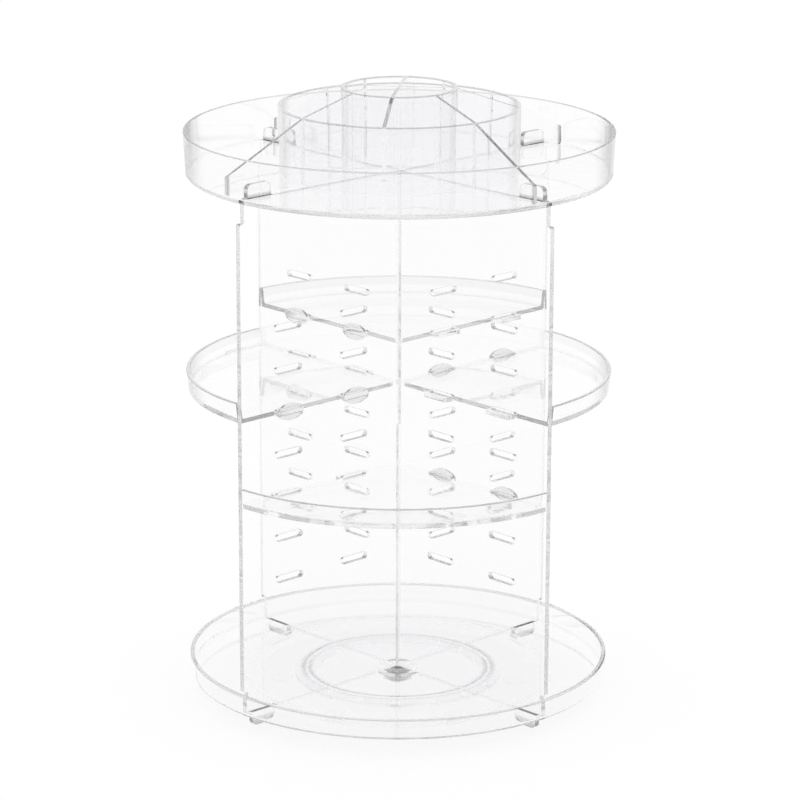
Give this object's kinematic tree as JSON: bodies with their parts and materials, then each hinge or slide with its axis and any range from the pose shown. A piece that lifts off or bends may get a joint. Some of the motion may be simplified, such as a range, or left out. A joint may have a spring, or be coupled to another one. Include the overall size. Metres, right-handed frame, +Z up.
{
  "type": "rotating cosmetics carousel",
  "caption": "Clear rotating cosmetics carousel: base tray on a ball race, crossing slotted boards with hung quarter shelves, and a top tray with a lift-out ring divider.",
  "frame": {"origin": "centre of the footprint, on the table under the pads", "axes": "+Z up, along the axis that the carousel turns on; -Y towards the front, where the lowest shelf faces"},
  "size_m": [0.233, 0.233, 0.3396],
  "materials": {
    "clear_board": "polished clear sheet with sawn, polished edges",
    "clear_moulding": "clear moulded plastic with a glossy skin",
    "clear_ball": "polished",
    "cage_plastic": "milky, smooth",
    "steel": "plain zinc-plated",
    "pad_rubber": "soft, milky"
  },
  "bodies": {
    "turntable_base": {"foot_pads": "pad_rubber", "turntable_disc": "clear_moulding"},
    "ball_ring": {"ball_cage": "cage_plastic", "bearing_balls": "clear_ball"},
    "carousel": {"base_tray": "clear_moulding", "pivot_screw": "steel", "pivot_washer": "steel", "left_to_right_board": "clear_board", "right_to_left_board": "clear_board", "front_shelf": "clear_moulding", "right_shelf": "clear_moulding", "back_shelf": "clear_moulding", "left_shelf": "clear_moulding"},
    "top_tray_body": {"top_tray": "clear_moulding"},
    "divider_body": {"divider_insert": "clear_moulding"}
  },
  "joints": [
    {"name": "turntable_spin", "type": "hinge", "parent": "turntable_base", "child": "carousel", "pos_m": [0, 0, 0], "axis": [0, 0, 1], "continuous": true},
    {"name": "ball_ring_spin", "type": "hinge", "parent": "turntable_base", "child": "ball_ring", "pos_m": [0, 0, 0], "axis": [0, 0, 1], "continuous": true},
    {"name": "top_tray_lift", "type": "slide", "parent": "carousel", "child": "top_tray_body", "axis": [0, 0, 1], "range_m": [0, 0.04]},
    {"name": "divider_lift", "type": "slide", "parent": "top_tray_body", "child": "divider_body", "axis": [0, 0, 1], "range_m": [0, 0.06]}
  ],
  "couplings": [
    {"joint": "ball_ring_spin", "follows": "turntable_spin", "ratio": 0.5}
  ]
}
